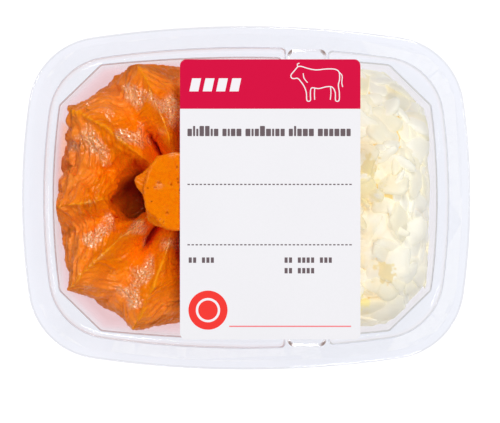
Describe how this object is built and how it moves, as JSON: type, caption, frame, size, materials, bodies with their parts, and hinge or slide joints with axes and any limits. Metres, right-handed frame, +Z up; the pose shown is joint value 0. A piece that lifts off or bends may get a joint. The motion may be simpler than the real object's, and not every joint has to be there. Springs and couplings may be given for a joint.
{
  "type": "packaged beef tartare",
  "caption": "Clear film-sealed tray in two bays: a piped swirl of beef tartare and a heap of chopped raw onion, with a paper label across the film.",
  "frame": {"origin": "on the surface the tray stands on, under the middle of the tray", "axes": "+X along the tray's long side, towards the onion bay; +Z up, through the film; +Y towards the coloured end of the label"},
  "size_m": [0.144, 0.1102, 0.0365],
  "materials": {
    "tray_plastic": "clear thermoformed PET, smooth and glossy",
    "lid_film": "clear flat sealing film, glossy",
    "label_paper": "white self-adhesive label paper, faint sheen, printed",
    "tartare_paste": "moist, fine orange meat paste with small glints",
    "raw_onion": "moist, slightly see-through white onion flesh"
  },
  "bodies": {
    "root": {"tray": "tray_plastic", "film": "lid_film", "label": "label_paper", "tartare": "tartare_paste", "onion": "raw_onion"}
  },
  "joints": []
}
